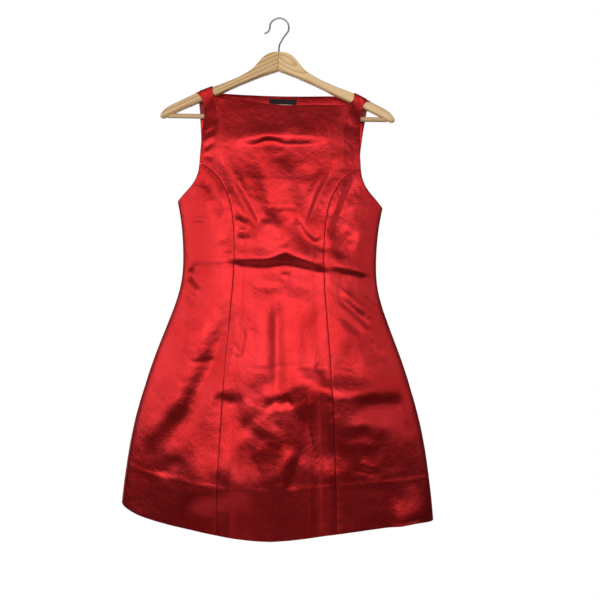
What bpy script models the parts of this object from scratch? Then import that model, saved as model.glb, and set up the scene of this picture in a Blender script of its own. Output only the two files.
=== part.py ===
"""Sleeveless satin cocktail dress hanging on a wooden hanger.

The frame: metres, +Z up, the dress faces -Y, and the origin is where a rail bears on the inside of the hook.
The tables are in millimetres. A "drop" is a distance straight down from the origin, and left is -X.
"""

import math
from collections import namedtuple

import bmesh
import bpy
from mathutils import Matrix

MM = 0.001

# Cloth
CLOTH_THICK = 1.6
SEAM_GAP = 0.3
SIDE_GAP = 0.5  # between front and back, at the shoulders and down the sides
FLATNESS = 2.6  # power of the cross-section: 2 is an ellipse, more is flatter in front
LABEL_WIDTH = 52.0
LABEL_TOP = 149.5
LABEL_BOTTOM = 169.5
LABEL_THICK = 0.8

# Hanger
ARM_THICK = 15.0
ARM_ROUNDING = 2.4
BAR_DIAMETER = 9.0
BAR_DROP = 187.5
BAR_HALF_LENGTH = 208.0
WIRE_DIAMETER = 3.2
HOOK_RADIUS = 18.1  # of the wire's centreline
SHANK_DEPTH = 16.0  # of the wire's end in the wood
FIT_GAP = 0.3

# How it hangs: the hanger leans to the right, the dress sits to the right on it, so that its right shoulder is
# lower, and the cloth falls plumb below the shoulders
LEAN = math.radians(0.6)
TILT = math.radians(0.7)
PLUMB_BELOW = 150.0
SHIFT_AT_SHOULDERS = 10.0
SHIFT_BELOW = 6.0

# The dress's outline and depths
SHOULDER_IN = 134.0
SHOULDER_OUT = 164.0
STRAP_SHARE = 0.815  # of the half width, outside which the cloth goes over the arm
SEAM_START = 284.0  # where the princess seam leaves the armhole
PIT = 354.0
LEVEL_BELOW = 200.0  # rows are level from here ...
LEVEL_ABOVE = 700.0  # ... down to here
HEM_LEVEL = 955.0

Arm = namedtuple("Arm", "reach edge_drop")
ARM_TOP = [
    Arm(0, 63.5),
    Arm(13, 65),
    Arm(24, 69.5),
    Arm(34, 78.5),
    Arm(41, 88),
    Arm(49, 97),
    Arm(60, 104.5),
    Arm(79, 115),
    Arm(108, 127.3),
    Arm(130, 135),
    Arm(153, 144),
    Arm(180, 157.5),
    Arm(200, 167.5),
    Arm(212, 174.5),
    Arm(220, 183),
]
ARM_BOTTOM = [
    Arm(221.5, 191.5),
    Arm(217, 193.5),
    Arm(205, 188),
    Arm(180, 175.5),
    Arm(153, 163.5),
    Arm(131, 154),
    Arm(109, 144.5),
    Arm(75, 128.5),
    Arm(33, 110.5),
    Arm(0, 99),
]

Armhole = namedtuple("Armhole", "drop front_half back_half")
ARMHOLE = [
    Armhole(130, 164, 164),
    Armhole(140, 164, 164),
    Armhole(150, 160, 162.5),
    Armhole(160, 152, 161),
    Armhole(172, 147.5, 159.5),
    Armhole(190, 146.5, 157),
    Armhole(210, 147, 154.5),
    Armhole(248, 148, 151.5),
    Armhole(284, 150.5, 152),
    Armhole(300, 152.5, 153.5),
    Armhole(315, 158.5, 159),
    Armhole(328, 168, 168),
    Armhole(340, 180, 180),
    Armhole(350, 190, 190),
    Armhole(354, 194, 194),
]

Side = namedtuple("Side", "drop half")
SIDE = [
    Side(354, 194),
    Side(374, 190),
    Side(400, 186),
    Side(430, 183.5),
    Side(460, 182.5),
    Side(490, 183.5),
    Side(515, 187.5),
    Side(545, 196),
    Side(590, 213),
    Side(636, 231),
    Side(681, 246.5),
    Side(727, 259.5),
    Side(772, 270.5),
    Side(818, 279),
    Side(864, 285.5),
    Side(909, 291),
    Side(985, 298),
]

Princess = namedtuple("Princess", "drop half")
PRINCESS = [
    Princess(284, 150),
    Princess(288, 139),
    Princess(295, 127),
    Princess(311, 112),
    Princess(333, 99),
    Princess(356, 90.5),
    Princess(382, 86),
    Princess(415, 83),
    Princess(460, 82),
    Princess(515, 85),
    Princess(586, 91),
    Princess(642, 96),
    Princess(708, 100),
    Princess(803, 105),
    Princess(869, 108),
    Princess(985, 110),
]

Neck = namedtuple("Neck", "x front_drop back_drop")
NECK = [
    Neck(-134, 146, 135),
    Neck(-131, 154, 139.5),
    Neck(-118, 157, 141.5),
    Neck(-87, 160, 142.5),
    Neck(-29, 167.5, 143),
    Neck(4, 170.3, 142.8),
    Neck(50, 167.5, 141.5),
    Neck(90, 166, 140),
    Neck(115, 165, 140.5),
    Neck(126, 160.5, 141),
    Neck(134, 150, 139),
]

# Distance of the cloth in front of the hanger's plane and behind it. The edge columns are at the armholes
Depth = namedtuple("Depth", "drop front front_edge back back_edge sharpness")
DEPTHS = [
    Depth(130, 18, 8.6, 11, 8.6, 1.0),
    Depth(171, 24, 9.5, 13, 9, 1.0),
    Depth(200, 28, 12, 15, 10, 1.0),
    Depth(235, 34, 15, 17, 10.5, 1.0),
    Depth(265, 37, 16, 19, 10, 1.0),
    Depth(300, 38, 15, 21, 9, 0.9),
    Depth(330, 41, 9, 22, 6, 0.7),
    Depth(354, 43, 0, 22, 0, 0.5),
    Depth(400, 45, 0, 21, 0, 0.5),
    Depth(440, 45, 0, 19, 0, 0.5),
    Depth(465, 42, 0, 17.5, 0, 0.5),
    Depth(490, 39, 0, 17.5, 0, 0.5),
    Depth(520, 40, 0, 19, 0, 0.5),
    Depth(560, 44, 0, 21, 0, 0.5),
    Depth(620, 51, 0, 24, 0, 0.5),
    Depth(680, 57, 0, 27, 0, 0.5),
    Depth(730, 60, 0, 28, 0, 0.5),
    Depth(790, 60, 0, 29, 0, 0.5),
    Depth(850, 57, 0, 30, 0, 0.5),
    Depth(910, 54, 0, 30, 0, 0.5),
    Depth(985, 51, 0, 30, 0, 0.5),
]

Hem = namedtuple("Hem", "share front_drop back_drop")
HEM = [
    Hem(-1, 928, 928),
    Hem(-0.9, 940, 936),
    Hem(-0.74, 950, 943),
    Hem(-0.49, 962.5, 951),
    Hem(-0.24, 974, 956),
    Hem(-0.05, 977.5, 958),
    Hem(0.13, 971, 957.5),
    Hem(0.37, 959, 953),
    Hem(0.63, 948, 948),
    Hem(0.89, 940, 942.5),
    Hem(1, 941, 941),
]

# The largest folds: soft ridges (height above 0) and troughs (below 0) between two points of the front view
Fold = namedtuple("Fold", "x drop to_x to_drop width height")
FRONT_FOLDS = [
    Fold(-88, 345, -84, 372, 44, 6),  # left cup
    Fold(88, 345, 84, 372, 44, 6),  # right cup
    Fold(-95, 250, 90, 252, 20, 4.5),  # slack across the chest
    Fold(-62, 274, 88, 270, 13, -5),
    Fold(-118, 235, -48, 385, 17, -4),  # drags from the armholes to the waist
    Fold(112, 255, 50, 390, 17, -4),
    Fold(-90, 455, 185, 460, 12, 6),  # the fold across the waist
    Fold(-86, 471, 180, 476, 11, -6),
    Fold(-4, 540, -4, 735, 26, -7),  # front of the skirt
    Fold(-48, 560, -56, 800, 30, 4),
    Fold(44, 560, 58, 760, 32, 4),
    Fold(-150, 600, -185, 900, 36, -5),
    Fold(160, 620, 190, 900, 38, -5),
    Fold(-95, 760, -110, 930, 34, 5),
    Fold(70, 800, 30, 960, 34, -4),
]
BACK_FOLDS = [
    Fold(-78, 250, -74, 330, 46, 3),  # shoulder blades
    Fold(78, 250, 74, 330, 46, 3),
    Fold(-140, 466, 150, 462, 13, -4),  # slack at the small of the back
    Fold(-130, 449, 140, 446, 13, 3),
    Fold(-45, 560, -70, 900, 34, -4.5),
    Fold(55, 590, 80, 920, 36, -4),
    Fold(5, 620, 0, 940, 34, 3.5),
]

# How the pieces are divided: shares across, and drops of the level rows
CENTRE_COLUMNS = [0, 0.045, 0.0915, 0.102, 0.12, 0.165, 0.23, 0.31, 0.4, 0.5]
SIDE_COLUMNS = [0, 0.17, 0.34, 0.5, 0.64, 0.77, 0.88, 0.96, 1]
BACK_COLUMNS = [0, 0.008, 0.045, 0.0915, 0.102, 0.15, 0.2, 0.26, 0.33, 0.41, 0.5]
ARCH_ANGLES = [0, 45, 90]  # degrees round the corner of the hanger's arm
EASE_ROWS = 4  # from the bottom of that corner, or the neck's edge, to the first level row
BODICE_ROWS = [200, 217, 234, 247, 256, 264, 273, 280]
SEAM_ROWS = [285.5, 289, 294, 301, 310, 321, 333, 344, 354, 370, 390, 410, 430, 443, 451, 459, 467, 476]
SKIRT_ROWS = [488, 505, 525, 548, 575, 605, 637, 670, 705, 740, 775, 810, 845, 880, 910, 935, 955]
BACK_ROWS = [200, 225, 250, 280, 303, 318, 331, 343, 354, 375, 400, 425, 441, 453, 465, 480]
BACK_SKIRT_ROWS = [500, 530, 565, 600, 640, 680, 720, 765, 810, 855, 895, 930, 955]


def read(table, key, at, column):
    """A column of a table, at a value of its key column, on a smooth curve through the rows."""
    keys = [getattr(row, key) for row in table]
    values = [getattr(row, column) for row in table]
    at = min(max(at, keys[0]), keys[-1])
    last = len(keys) - 1
    i = min(next(k for k in range(last, -1, -1) if keys[k] <= at), last - 1)

    def slope(k):
        before, after = max(k - 1, 0), min(k + 1, last)
        return (values[after] - values[before]) / (keys[after] - keys[before])

    step = keys[i + 1] - keys[i]
    t = (at - keys[i]) / step
    rise = values[i + 1] - values[i]
    start, end = slope(i) * step, slope(i + 1) * step
    return values[i] + t * (start + t * ((3 * rise - 2 * start - end) + t * (start + end - 2 * rise)))


def ease(low, high, at):
    """0 below low, 1 above high, and smooth between them."""
    t = min(max((at - low) / (high - low), 0.0), 1.0)
    return t * t * (3 - 2 * t)


def outline(drop, face):
    """Half the width of the front or back: the armhole's edge, and the side seam under it."""
    if drop < PIT:
        return read(ARMHOLE, "drop", drop, face + "_half")
    return read(SIDE, "drop", drop, "half")


def arm_clearance():
    """From the wood to the middle of the cloth that lies on it."""
    return FIT_GAP + CLOTH_THICK / 2


def shoulder_top(x):
    """Drop of the middle of the cloth where it crosses the top of the hanger's arm."""
    reach = abs(x + SHIFT_AT_SHOULDERS)
    return read(ARM_TOP, "reach", reach, "edge_drop") - arm_clearance() - 0.4 - x * math.tan(TILT)


def over_arm(row):
    """(depth, drop below the shoulder's top) of a row that bends over the hanger's arm."""
    if row == 0:
        return 0.0, 0.0
    angle = math.radians(ARCH_ANGLES[row - 1])
    radius = ARM_ROUNDING + arm_clearance()
    flat = ARM_THICK / 2 - ARM_ROUNDING
    return flat + radius * math.sin(angle), radius * (1 - math.cos(angle))


def fold_height(folds, x, drop):
    """What the folds add to the depth at a point of the front view."""
    total = 0.0
    for fold in folds:
        along_x, along_drop = fold.to_x - fold.x, fold.to_drop - fold.drop
        length = math.hypot(along_x, along_drop)
        along = ((x - fold.x) * along_x + (drop - fold.drop) * along_drop) / length
        across = ((x - fold.x) * along_drop - (drop - fold.drop) * along_x) / length
        past = max(-along, along - length, 0.0)
        reach = math.hypot(across / fold.width, past / (1.6 * fold.width))
        total += fold.height * math.exp(-1.4 * reach * reach)
    return total


def depth(x, drop, face):
    """Distance of the middle of the cloth from the hanger's plane."""
    share = min(abs(x) / outline(drop, face), 1.0)
    middle = read(DEPTHS, "drop", drop, face)
    edge = max(read(DEPTHS, "drop", drop, face + "_edge"), 0.0)
    sharpness = read(DEPTHS, "drop", drop, "sharpness")
    body = edge + (middle - edge) * (1 - share**FLATNESS) ** sharpness
    folds = FRONT_FOLDS if face == "front" else BACK_FOLDS
    fading = ease(0, 0.25, 1 - share) if drop > PIT else 1.0
    body += fold_height(folds, x, drop) * fading * ease(175, 235, drop)
    top = shoulder_top(x)
    on_arm = ease(SHOULDER_IN - 14, SHOULDER_IN, abs(x)) * (1 - ease(top + 14, top + 50, drop))
    lying = ARM_THICK / 2 + arm_clearance()
    return body + (lying - body) * on_arm


def hang(x, y, drop):
    """A point of the cloth in metres, as it sits on the hanger and leans with it."""
    across = x + SHIFT_AT_SHOULDERS + (SHIFT_BELOW - SHIFT_AT_SHOULDERS) * ease(150, 260, drop)
    down = drop + x * math.tan(TILT)
    sideways = across * math.cos(LEAN) - min(down, PLUMB_BELOW) * math.sin(LEAN)
    return (sideways * MM, y * MM, -(down * math.cos(LEAN) + across * math.sin(LEAN)) * MM)


def front_point(x, drop):
    return hang(x, -depth(x, drop, "front") - SIDE_GAP / 2, drop)


def back_point(x, drop):
    return hang(x, depth(x, drop, "back") + SIDE_GAP / 2, drop)


def upper_point(across, row, face):
    """A point of the rows above the level ones: over the hanger's arm, or on the neck's edge, then down."""
    across = min(max(across, -1.0), 1.0)
    x = SHOULDER_OUT * across
    side = 1 if face == "back" else -1
    bend = len(ARCH_ANGLES)
    if abs(across) >= STRAP_SHARE:
        y, below = over_arm(min(row, bend))
        top = shoulder_top(x) + below
        if row <= bend:
            return hang(x, side * (y + SIDE_GAP / 2), top)
    else:
        top = read(NECK, "x", x, face + "_drop")
    drop = top + (LEVEL_BELOW - top) * max(row - bend, 0) / (EASE_ROWS + 1)
    # the outer column follows the armhole, and those under the neck keep their place until further down
    settled = ease(0, 1, (drop - top) / (LEVEL_BELOW - top))
    inward = min((1 - abs(across)) / (1 - SHOULDER_IN / SHOULDER_OUT), 1.0)
    half = outline(drop, face)
    x = across * (half + (SHOULDER_OUT - half) * (1 - settled) * inward)
    return hang(x, side * (depth(x, drop, face) + SIDE_GAP / 2), drop)


def lower_drop(level, share, face):
    """Drop of a row of the skirt, which bends to follow the hem."""
    if level <= LEVEL_ABOVE:
        return level
    hem = read(HEM, "share", share, face + "_drop")
    return LEVEL_ABOVE + (level - LEVEL_ABOVE) * (hem - LEVEL_ABOVE) / (HEM_LEVEL - LEVEL_ABOVE)


def princess_edge(drop, offset):
    """(half width, drop) on the princess seam, moved square to it by offset, which is positive towards the side."""
    step = 0.5
    run = read(PRINCESS, "drop", drop + step, "half") - read(PRINCESS, "drop", drop - step, "half")
    length = math.hypot(run, 2 * step)
    return read(PRINCESS, "drop", drop, "half") + offset * 2 * step / length, drop - offset * run / length


def collection(name, hidden=False):
    made = bpy.data.collections.new(name)
    made.hide_render = hidden
    bpy.context.scene.collection.children.link(made)
    return made


def material(name, colour, roughness, metallic=0.0):
    made = bpy.data.materials.new(name)
    made.use_nodes = True
    shader = made.node_tree.nodes["Principled BSDF"]
    shader.inputs["Base Color"].default_value = (*colour, 1)
    shader.inputs["Roughness"].default_value = roughness
    shader.inputs["Metallic"].default_value = metallic
    return made


def add_object(name, data, finish, group):
    made = bpy.data.objects.new(name, data)
    data.materials.append(finish)
    group.objects.link(made)
    return made


def over_neck(share, row):
    """Whether a grid place is above the neck's edge, between the shoulders."""
    return row < len(ARCH_ANGLES) and abs(2 * share - 1) < STRAP_SHARE


def cloth_wall(name, columns, rows, place, thickness, finish, group, left_out=None):
    """A wall of cloth: a grid whose points place(column, row) puts, the first row at the top, given a thickness."""
    mesh = bpy.data.meshes.new(name)
    shape = bmesh.new()
    across, down = len(columns) - 1, len(rows) - 1
    bmesh.ops.create_grid(shape, x_segments=across, y_segments=down, size=0.5)
    dropped = []
    for vertex in shape.verts:
        column = columns[round((vertex.co.x + 0.5) * across)]
        row = rows[round((0.5 - vertex.co.y) * down)]
        vertex.co = place(column, row)
        if left_out and left_out(column, row):
            dropped.append(vertex)
    bmesh.ops.delete(shape, geom=dropped, context="VERTS")
    shape.to_mesh(mesh)
    shape.free()
    made = add_object(name, mesh, finish, group)
    wall = made.modifiers.new("Wall", "SOLIDIFY")
    wall.thickness = thickness * MM
    wall.offset = 0
    wall.use_even_offset = True
    for polygon in mesh.polygons:
        polygon.use_smooth = True
    return made


def mirrored(shares):
    """Shares of the left half, 0 to 0.5, with those of the right half added."""
    return shares + [1 - s for s in reversed(shares[:-1])]


def front_centre(satin, group):
    """Centre front, from the neck and shoulders to the hem, between the princess seams."""
    upper = len(ARCH_ANGLES) + 1 + EASE_ROWS
    rows = list(range(upper)) + BODICE_ROWS + SEAM_ROWS + SKIRT_ROWS

    def place(share, row):
        across = 2 * share - 1
        if row < upper:
            return upper_point(across, row, "front")
        if row < SEAM_START:
            return front_point(outline(row, "front") * across, row)
        skirt_half = read(PRINCESS, "drop", HEM_LEVEL, "half")
        drop = lower_drop(row, across * skirt_half / outline(HEM_LEVEL, "front"), "front")
        half, drop = princess_edge(drop, -SEAM_GAP / 2 * abs(across))
        return front_point(half * across, drop)

    columns = mirrored(CENTRE_COLUMNS)
    return cloth_wall("front_centre", columns, rows, place, CLOTH_THICK, satin, group, over_neck)


def front_side(name, side, satin, group):
    """Side front, from the armhole to the hem, between the princess seam and the side seam."""
    rows = SEAM_ROWS + SKIRT_ROWS

    def place(share, row):
        hem_half = outline(HEM_LEVEL, "front")
        inner = read(PRINCESS, "drop", HEM_LEVEL, "half") / hem_half
        drop = lower_drop(row, side * turned(inner, share), "front")
        seam, seam_drop = princess_edge(drop, SEAM_GAP / 2)
        half = outline(drop, "front")
        x = half * turned(seam / half, share)
        return front_point(side * x, drop + (seam_drop - drop) * (1 - share))

    columns = SIDE_COLUMNS if side > 0 else SIDE_COLUMNS[::-1]
    return cloth_wall(name, columns, rows, place, CLOTH_THICK, satin, group)


def turned(inner, share):
    """Share of the half width, spaced evenly in angle from the inner edge to the side."""
    start = math.asin(min(inner, 1.0))
    return math.sin(start + (math.pi / 2 - start) * share)


def back(satin, group):
    """Back in one piece, from the neck and shoulders to the hem."""
    upper = len(ARCH_ANGLES) + 1 + EASE_ROWS
    rows = list(range(upper)) + BACK_ROWS + BACK_SKIRT_ROWS

    def place(share, row):
        across = 1 - 2 * share  # so that the wall faces back
        if row < upper:
            return upper_point(across, row, "back")
        # columns stand at even shares across the shoulders and closer to the sides lower down
        curved = math.sin(across * math.pi / 2)
        share_out = across + (curved - across) * ease(LEVEL_BELOW, PIT, row)
        drop = lower_drop(row, share_out, "back")
        return back_point(share_out * outline(drop, "back"), drop)

    columns = mirrored(BACK_COLUMNS)
    return cloth_wall("back", columns, rows, place, CLOTH_THICK, satin, group, over_neck)


def label(woven, group):
    """Label on the inside of the back neck, made from the back's own points."""
    inward = CLOTH_THICK / 2 + FIT_GAP + LABEL_THICK / 2
    columns = [LABEL_WIDTH * (k / 6 - 0.5) for k in range(7)]
    rows = [LABEL_TOP + (LABEL_BOTTOM - LABEL_TOP) * k / 3 for k in range(4)]

    def place(x, drop):
        return hang(x, depth(x, drop, "back") + SIDE_GAP / 2 - inward, drop)

    return cloth_wall("label", columns, rows, place, LABEL_THICK, woven, group)


def as_mesh(made, group):
    """The object as a plain mesh with its caps welded, in place of the curve."""
    bpy.context.view_layer.update()
    graph = bpy.context.evaluated_depsgraph_get()
    mesh = bpy.data.meshes.new_from_object(made.evaluated_get(graph))
    name, place = made.name, made.matrix_world.copy()
    bpy.data.objects.remove(made)
    shape = bmesh.new()
    shape.from_mesh(mesh)
    bmesh.ops.remove_doubles(shape, verts=shape.verts, dist=0.00001)
    shape.to_mesh(mesh)
    shape.free()
    solid = bpy.data.objects.new(name, mesh)
    solid.matrix_world = place
    group.objects.link(solid)
    return solid


def cylinder(name, radius, length, finish, group):
    """A cylinder along Z with its middle at the origin."""
    mesh = bpy.data.meshes.new(name)
    shape = bmesh.new()
    bmesh.ops.create_cone(
        shape, cap_ends=True, segments=24, radius1=radius * MM, radius2=radius * MM, depth=length * MM
    )
    shape.to_mesh(mesh)
    shape.free()
    return add_object(name, mesh, finish, group)


def leaned(local):
    """A place on the hanger, after its lean about the hook's bearing."""
    return Matrix.Rotation(LEAN, 4, "Y") @ local


def hanger_arm(name, side, cutters, wood, group):
    """One arm of the hanger: a flat outline, from the joint in the middle to the tip, with rounded edges."""
    outline_curve = bpy.data.curves.new(name, "CURVE")
    outline_curve.dimensions = "2D"
    outline_curve.fill_mode = "BOTH"
    outline_curve.extrude = ARM_THICK / 2 * MM
    outline_curve.resolution_u = 3
    spline = outline_curve.splines.new("BEZIER")
    corners = ARM_TOP + ARM_BOTTOM
    spline.bezier_points.add(len(corners) - 1)
    spline.use_cyclic_u = True
    for point, corner in zip(spline.bezier_points, corners):
        reach = max(corner.reach, FIT_GAP / 2)
        point.co = (side * reach * MM, -corner.edge_drop * MM, 0)
        kind = "VECTOR" if corner.reach == 0 else "AUTO"
        point.handle_left_type = point.handle_right_type = kind
    arm = add_object(name, outline_curve, wood, group)
    arm.matrix_world = leaned(Matrix.Rotation(math.pi / 2, 4, "X"))
    arm = as_mesh(arm, group)
    rounding = arm.modifiers.new("Rounding", "BEVEL")
    rounding.width = ARM_ROUNDING * MM
    rounding.segments = 2
    rounding.use_clamp_overlap = False
    rounding.limit_method = "ANGLE"
    rounding.angle_limit = math.radians(50)
    for cutter in cutters:
        cut = arm.modifiers.new(cutter.name, "BOOLEAN")
        cut.operation = "DIFFERENCE"
        cut.object = cutter
    return arm


def hook_path():
    """Centreline of the hook: up from the wood, out to the right, over the top and down to a turned-out tip."""
    centre_drop = HOOK_RADIUS - WIRE_DIAMETER / 2
    wood_top = ARM_TOP[0].edge_drop
    neck = [(0, -wood_top - SHANK_DEPTH), (0, -wood_top), (0.3, -54), (2.2, -46.5), (6.6, -38.6), (11, -31.4)]
    turns = 16
    first, last = math.radians(-24), math.radians(186)
    bend = []
    for k in range(turns + 1):
        angle = first + (last - first) * k / turns
        bend.append((HOOK_RADIUS * math.cos(angle), HOOK_RADIUS * math.sin(angle) - centre_drop))
    tip = [(-20.2, -23.2), (-23.4, -26.2), (-26.8, -27.6)]
    return neck + bend + tip


def hanger_hook(steel, group):
    """Bent wire that hangs on a rail."""
    wire = bpy.data.curves.new("hanger_hook", "CURVE")
    wire.dimensions = "3D"
    wire.bevel_depth = WIRE_DIAMETER / 2 * MM
    wire.bevel_resolution = 2
    wire.use_fill_caps = True
    path = hook_path()
    spline = wire.splines.new("POLY")
    spline.points.add(len(path) - 1)
    for point, (x, z) in zip(spline.points, path):
        point.co = (x * MM, 0, z * MM, 1)
    made = add_object("hanger_hook", wire, steel, group)
    made.matrix_world = leaned(Matrix.Identity(4))
    return made


def main():
    for old in list(bpy.data.objects):
        bpy.data.objects.remove(old)
    dress = collection("cocktail_dress_on_hanger")
    cutting = collection("cutters", hidden=True)

    satin = material("red_satin", (0.62, 0.02, 0.045), 0.38)
    woven = material("black_woven_tape", (0.012, 0.012, 0.014), 0.7)
    wood = material("pale_wood", (0.68, 0.44, 0.22), 0.5)
    steel = material("bright_steel", (0.55, 0.55, 0.57), 0.28, 1.0)

    front_centre(satin, dress)
    front_side("front_side_left", -1, satin, dress)
    front_side("front_side_right", 1, satin, dress)
    back(satin, dress)
    label(woven, dress)

    bar_place = leaned(Matrix.Translation((0, 0, -BAR_DROP * MM)) @ Matrix.Rotation(math.pi / 2, 4, "Y"))
    bar = cylinder("hanger_bar", BAR_DIAMETER / 2, 2 * BAR_HALF_LENGTH, wood, dress)
    bar.matrix_world = bar_place
    socket = cylinder("bar_socket", BAR_DIAMETER / 2 + FIT_GAP, 2 * (BAR_HALF_LENGTH + FIT_GAP), wood, cutting)
    socket.matrix_world = bar_place
    hole = cylinder("shank_hole", WIRE_DIAMETER / 2 + FIT_GAP, 2 * (SHANK_DEPTH + FIT_GAP), steel, cutting)
    hole.matrix_world = leaned(Matrix.Translation((0, 0, -ARM_TOP[0].edge_drop * MM)))
    for cutter in (socket, hole):
        cutter.hide_render = True
        cutter.display_type = "WIRE"
    hanger_arm("hanger_arm_left", -1, (socket, hole), wood, dress)
    hanger_arm("hanger_arm_right", 1, (socket, hole), wood, dress)
    hanger_hook(steel, dress)


main()
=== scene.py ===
import math

import bmesh
import bpy
import numpy as np
from mathutils import Matrix, Vector


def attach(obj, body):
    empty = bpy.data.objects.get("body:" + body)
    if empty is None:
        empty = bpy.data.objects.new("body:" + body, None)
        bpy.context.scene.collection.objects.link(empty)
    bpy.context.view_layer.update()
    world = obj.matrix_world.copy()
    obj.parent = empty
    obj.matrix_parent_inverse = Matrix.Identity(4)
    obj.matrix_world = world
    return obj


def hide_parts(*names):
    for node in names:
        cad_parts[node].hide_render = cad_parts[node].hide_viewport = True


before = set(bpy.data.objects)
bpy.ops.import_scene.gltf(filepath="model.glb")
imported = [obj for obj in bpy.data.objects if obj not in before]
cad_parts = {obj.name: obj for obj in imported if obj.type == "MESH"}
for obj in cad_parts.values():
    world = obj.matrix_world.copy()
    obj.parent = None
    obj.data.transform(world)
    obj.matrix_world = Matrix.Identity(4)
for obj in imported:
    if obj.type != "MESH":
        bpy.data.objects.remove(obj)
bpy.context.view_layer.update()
mm = 0.001

# sizes are in millimetres: a drop is a distance straight down from the hook's bearing, and left is -X

hanger = {
    "thick": 15.0,
    "rounding": 2.6,
    "topReach": [0, 13, 24, 34, 41, 49, 60, 79, 108, 130, 153, 180, 200, 212, 220, 222.5],
    "topDrop": [63.5, 65, 69.5, 78.5, 88, 97, 104.5, 115, 127.3, 135, 144, 157.5, 167.5, 174.5, 182, 187],
    "lowReach": [0, 33, 75, 109, 131, 153, 180, 205, 216, 221, 222.5],
    "lowDrop": [99, 110.5, 128.5, 144.5, 154, 163.5, 175.5, 188, 193.5, 192.5, 189],
    "lean": math.radians(0.6),  # the whole hanger leans on its hook
}

dress = {
    "thick": 1.0,
    "seamGap": 0.7,
    "sideGap": 0.5,
    "shoulderIn": 134.0,  # the strap, out from the dress's middle
    "shoulderOut": 164.0,
    "seamStart": 284.0,  # where the curved seams leave the armholes
    "pit": 354.0,
    "tubeHalf": 194.0,  # half width of the dress just under the armholes
    "hemLevel": 955.0,
    "levelFrom": 200.0,  # rows are level from here ...
    "bendBelow": 700.0,  # ... down to here, and then bend to follow the hem
    "shoulderRows": 15,  # between the arm's bend and the first level row
    "outerShare": 0.978,  # spreads the inner columns of a level row ...
    "edgeBand": 4.4,  # ... up to this band of the edge's own columns
    "tilt": math.radians(0.7),  # the right shoulder sits lower
    "shiftAtShoulders": 10.0,
    "shiftBelow": 6.0,
    "roundness": 2.6,
    "cell": 3.7,
    "turnUp": 88.0,
    "offWood": 1.1,  # the cloth's own surface from the wood it lies on
    "strapLift": 0.4,  # and the strap's inner edge a little further
}

outlines = {
    "armholeDrop": [120, 140, 150, 160, 172, 190, 210, 248, 284, 300, 315, 328, 340, 350, 354],
    "armholeFront": [164, 164, 160, 152, 147.5, 146.5, 147, 148, 150.5, 152.5, 158.5, 168, 180, 190, 194],
    "armholeBack": [164, 164, 162.5, 161, 159.5, 157, 154.5, 151.5, 152, 153.5, 159, 168, 180, 190, 194],
    "sideDrop": [354, 374, 400, 430, 460, 490, 515, 545, 590, 636, 681, 727, 772, 818, 864, 909, 985],
    "sideHalf": [
        194, 190, 186, 183.5, 182.5, 183.5, 187.5, 196, 213, 231, 246.5, 259.5, 270.5, 279, 285.5, 291, 298,
    ],
    "seamDrop": [284, 288, 295, 311, 333, 356, 382, 415, 460, 515, 586, 642, 708, 803, 869, 985],
    "seamHalf": [150, 139, 127, 112, 99, 90.5, 86, 83, 82, 85, 91, 96, 100, 105, 108, 110],
    "dartDrop": [292, 380, 456, 540, 610],
    "dartHalf": [68, 72, 75, 77, 74],
}

necks = {
    "x": [-134, -131, -118, -87, -29, 4, 50, 90, 115, 126, 134],
    "front": [146, 154, 157, 160, 167.5, 170.3, 167.5, 166, 165, 160.5, 150],
    "back": [135, 139.5, 141.5, 142.5, 143, 142.8, 141.5, 140, 140.5, 141, 139],
}

depths = {
    "drop": [
        130, 171, 200, 225, 246, 265, 285, 330, 400, 440, 458,
        474, 500, 560, 620, 680, 730, 790, 850, 910, 985,
    ],
    "front": [
        15, 23, 27.5, 30, 30.8, 31.6, 33, 36.5, 42, 45, 45.8,
        45.4, 45.6, 48, 53, 57, 59, 57, 54, 50, 45,
    ],
    "back": [
        14.5, 11.5, 13, 15.5, 17.7, 19, 20, 22, 21, 19, 17.8,
        17.5, 17.7, 21, 24, 27, 28, 29, 30, 30, 30,
    ],
}
edgeDepths = {
    "drop": [120, 171, 200, 235, 265, 300],
    "front": [8.6, 10, 14, 19, 22.5, 24.5],
    "back": [8.6, 8.4, 7, 8, 10, 12],
}

hems = {
    "share": [-1, -0.9, -0.74, -0.49, -0.24, -0.05, 0.13, 0.37, 0.63, 0.89, 1],
    "front": [928, 940, 950, 962.5, 974, 977.5, 971, 959, 948, 940, 941],
    "back": [928, 936, 943, 951, 956, 958, 957.5, 953, 948, 942.5, 941],
}

# columns along each edge, (how far from the edge, how far in), starting with the hidden allowance
edgeColumns = 8
edgeRolls = {
    "onWood": [(0, 0), (0.1, 0), (0.25, 0), (0.45, 0), (0.7, 0), (1.1, 0), (2, 0), (3.4, 0)],
    "armhole": [(9, 2.2), (4, 2.2), (1.3, 1.9), (0.3, 1.3), (0, 0.6), (0.5, 0.15), (1.7, 0), (3.4, 0)],
    "seam": [(0, 6.5), (0, 3), (0.02, 1.5), (0.1, 0.85), (0.32, 0.5), (0.9, 0.26), (1.9, 0.12), (3.4, 0.04)],
    "side": [(9, -0.6), (5, -0.6), (2, -0.5), (0.6, -0.3), (0, 0), (0.5, 0), (1.7, 0), (3.4, 0)],
}
neckRoll = [(26.0, 2.3), (13.0, 2.3), (5.0, 2.2), (1.2, 1.7), (0.1, 0.8)]  # (how far down inside, how far in)
hemRoll = [(0.0, 0.0), (-0.1, 0.8), (0.5, 1.7), (2.5, 2.4)]  # (how far up from the fold, how far in)


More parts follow.
